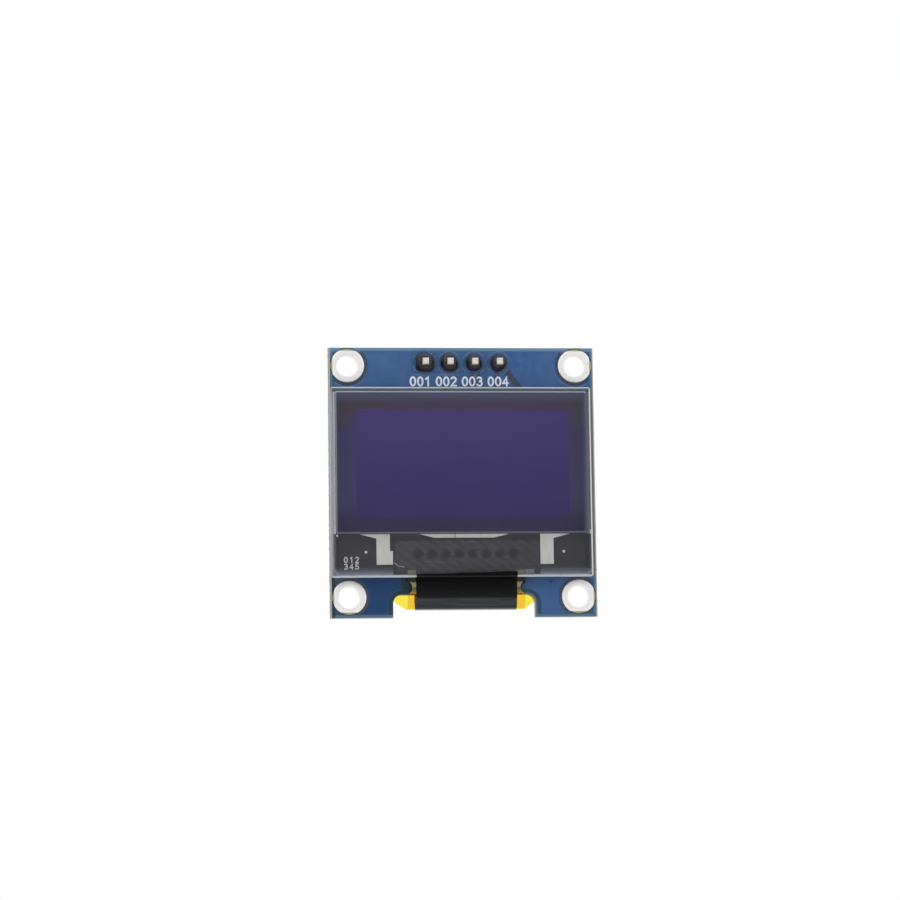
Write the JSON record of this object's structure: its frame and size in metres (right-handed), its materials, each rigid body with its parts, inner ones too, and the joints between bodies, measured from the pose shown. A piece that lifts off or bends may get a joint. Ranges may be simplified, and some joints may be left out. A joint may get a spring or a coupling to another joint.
{
  "type": "oled display module",
  "caption": "Small monochrome OLED panel taped to a square blue carrier board, with a folded flex tail, corner mounting holes and a pin header on the back.",
  "frame": {"origin": "centre of the four mounting holes, on the front face of the board", "axes": "the screen faces -Y, +X is to the right as the screen is read, and +Z points to the edge with the pin header"},
  "size_m": [0.0274, 0.0115, 0.0277],
  "materials": {
    "laminate": "rough glass-fibre laminate, cut edge",
    "solder_mask": "glossy blue solder mask",
    "tin": "satin tin plating",
    "solder": "bright solder",
    "header_plastic": "black moulded nylon",
    "pin_plate": "thin gold plating over brass",
    "foam_tape": "white double-sided tape",
    "cap_glass": "clear glass, cut edges",
    "desiccant": "matt white sheet",
    "seal_glue": "cured glue",
    "pixel_layer": "dark purple thin films",
    "clear_glass": "clear glass, cut edges",
    "polarizer": "smoky plastic film with a fine matt surface",
    "ledge_film": "dark thin metal film",
    "bus_metal": "pale thin metal film",
    "fanout_film": "grey film of fine slanted tracks",
    "silicon": "polished silicon",
    "polyimide": "translucent amber film with copper tracks",
    "black_tape": "black film tape with a satin sheen",
    "chip_coat": "dark glass coat",
    "capacitor_ceramic": "fired brown ceramic",
    "resistor_ceramic": "white alumina",
    "moulded_black": "black moulded epoxy"
  },
  "bodies": {
    "root": {"circuit_board": "laminate", "solder_mask_front": "solder_mask", "solder_mask_back": "solder_mask", "mounting_ring_1": "tin", "mounting_ring_2": "tin", "mounting_ring_3": "tin", "mounting_ring_4": "tin", "pin_pad_1": "tin", "pin_pad_2": "tin", "pin_pad_3": "tin", "pin_pad_4": "tin", "solder_cone_1": "solder", "solder_cone_2": "solder", "solder_cone_3": "solder", "solder_cone_4": "solder", "header_insulator": "header_plastic", "header_pin_1": "pin_plate", "header_pin_2": "pin_plate", "header_pin_3": "pin_plate", "header_pin_4": "pin_plate", "mounting_tape": "foam_tape", "cap_glass": "cap_glass", "desiccant_sheet": "desiccant", "edge_seal": "seal_glue", "pixel_layer": "pixel_layer", "front_glass": "clear_glass", "polarizer": "polarizer", "ledge_film": "ledge_film", "bus_pads": "bus_metal", "fanout_film": "fanout_film", "driver_chip": "silicon", "flex_tail": "polyimide", "wrap_tape": "black_tape", "tail_contacts": "solder", "capacitor_1": "capacitor_ceramic", "capacitor_2": "capacitor_ceramic", "capacitor_3": "capacitor_ceramic", "capacitor_4": "capacitor_ceramic", "capacitor_5": "capacitor_ceramic", "capacitor_6": "capacitor_ceramic", "capacitor_7": "capacitor_ceramic", "capacitor_ends": "tin", "resistor_1": "resistor_ceramic", "resistor_2": "resistor_ceramic", "resistor_3": "resistor_ceramic", "resistor_4": "resistor_ceramic", "resistor_5": "resistor_ceramic", "resistor_coats": "chip_coat", "resistor_ends": "tin", "chip_solder": "solder", "spare_pads": "tin", "regulator_body": "moulded_black", "regulator_leads": "tin", "regulator_pads": "solder"}
  },
  "joints": []
}
